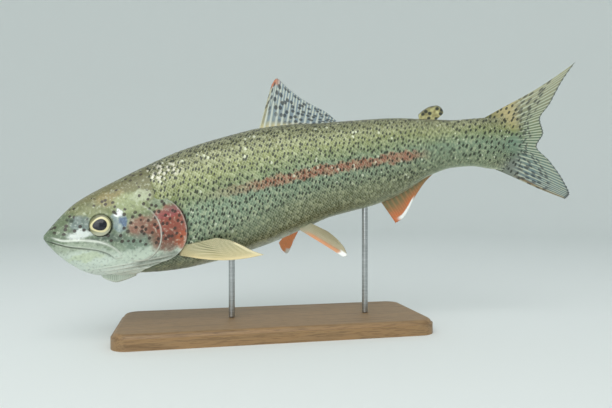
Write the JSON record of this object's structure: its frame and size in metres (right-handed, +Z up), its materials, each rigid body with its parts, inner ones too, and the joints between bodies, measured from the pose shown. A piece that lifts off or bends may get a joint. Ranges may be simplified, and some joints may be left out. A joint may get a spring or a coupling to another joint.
{
  "type": "rainbow trout model on stand",
  "caption": "Still, life-size rainbow trout in a swimming pose, head low, fins spread and tail swept aside, held over a flat wooden base by short steel rods.",
  "frame": {"origin": "centre of the underside of the stand's base", "axes": "+X from the head towards the tail, +Y to the fish's right side, +Z up"},
  "size_m": [0.5472, 0.11, 0.2851],
  "materials": {
    "skin": "wet scaled fish skin, olive back, silver flank and belly, small dark spots",
    "cheek": "wet smooth gill cover skin, silver with a rose flush and dark spots",
    "jaw": "wet smooth silver-white skin of jaw and throat",
    "fin": "thin translucent grey fin skin over pale rays, rows of dark spots",
    "warm_fin": "thin translucent orange and cream fin skin over pale rays, white edge",
    "eye": "clear glossy eye, gold iris, blue-black pupil",
    "base_wood": "plain oiled wood, closed grain, satin",
    "rod_steel": "plain drawn stainless steel rod, satin"
  },
  "bodies": {
    "root": {"head": "skin", "lower_jaw": "jaw", "gill_cover_left": "cheek", "gill_cover_right": "cheek", "eye_left": "eye", "eye_right": "eye", "throat_membrane_left": "jaw", "throat_membrane_right": "jaw", "trunk": "skin", "tail_stalk": "skin", "dorsal_fin": "fin", "adipose_fin": "fin", "anal_fin": "warm_fin", "tail_fin": "fin", "pectoral_fin_left": "warm_fin", "pectoral_fin_right": "warm_fin", "pelvic_fin_left": "warm_fin", "pelvic_fin_right": "warm_fin", "stand_base": "base_wood", "stand_rod_front": "rod_steel", "stand_rod_rear": "rod_steel"}
  },
  "joints": []
}
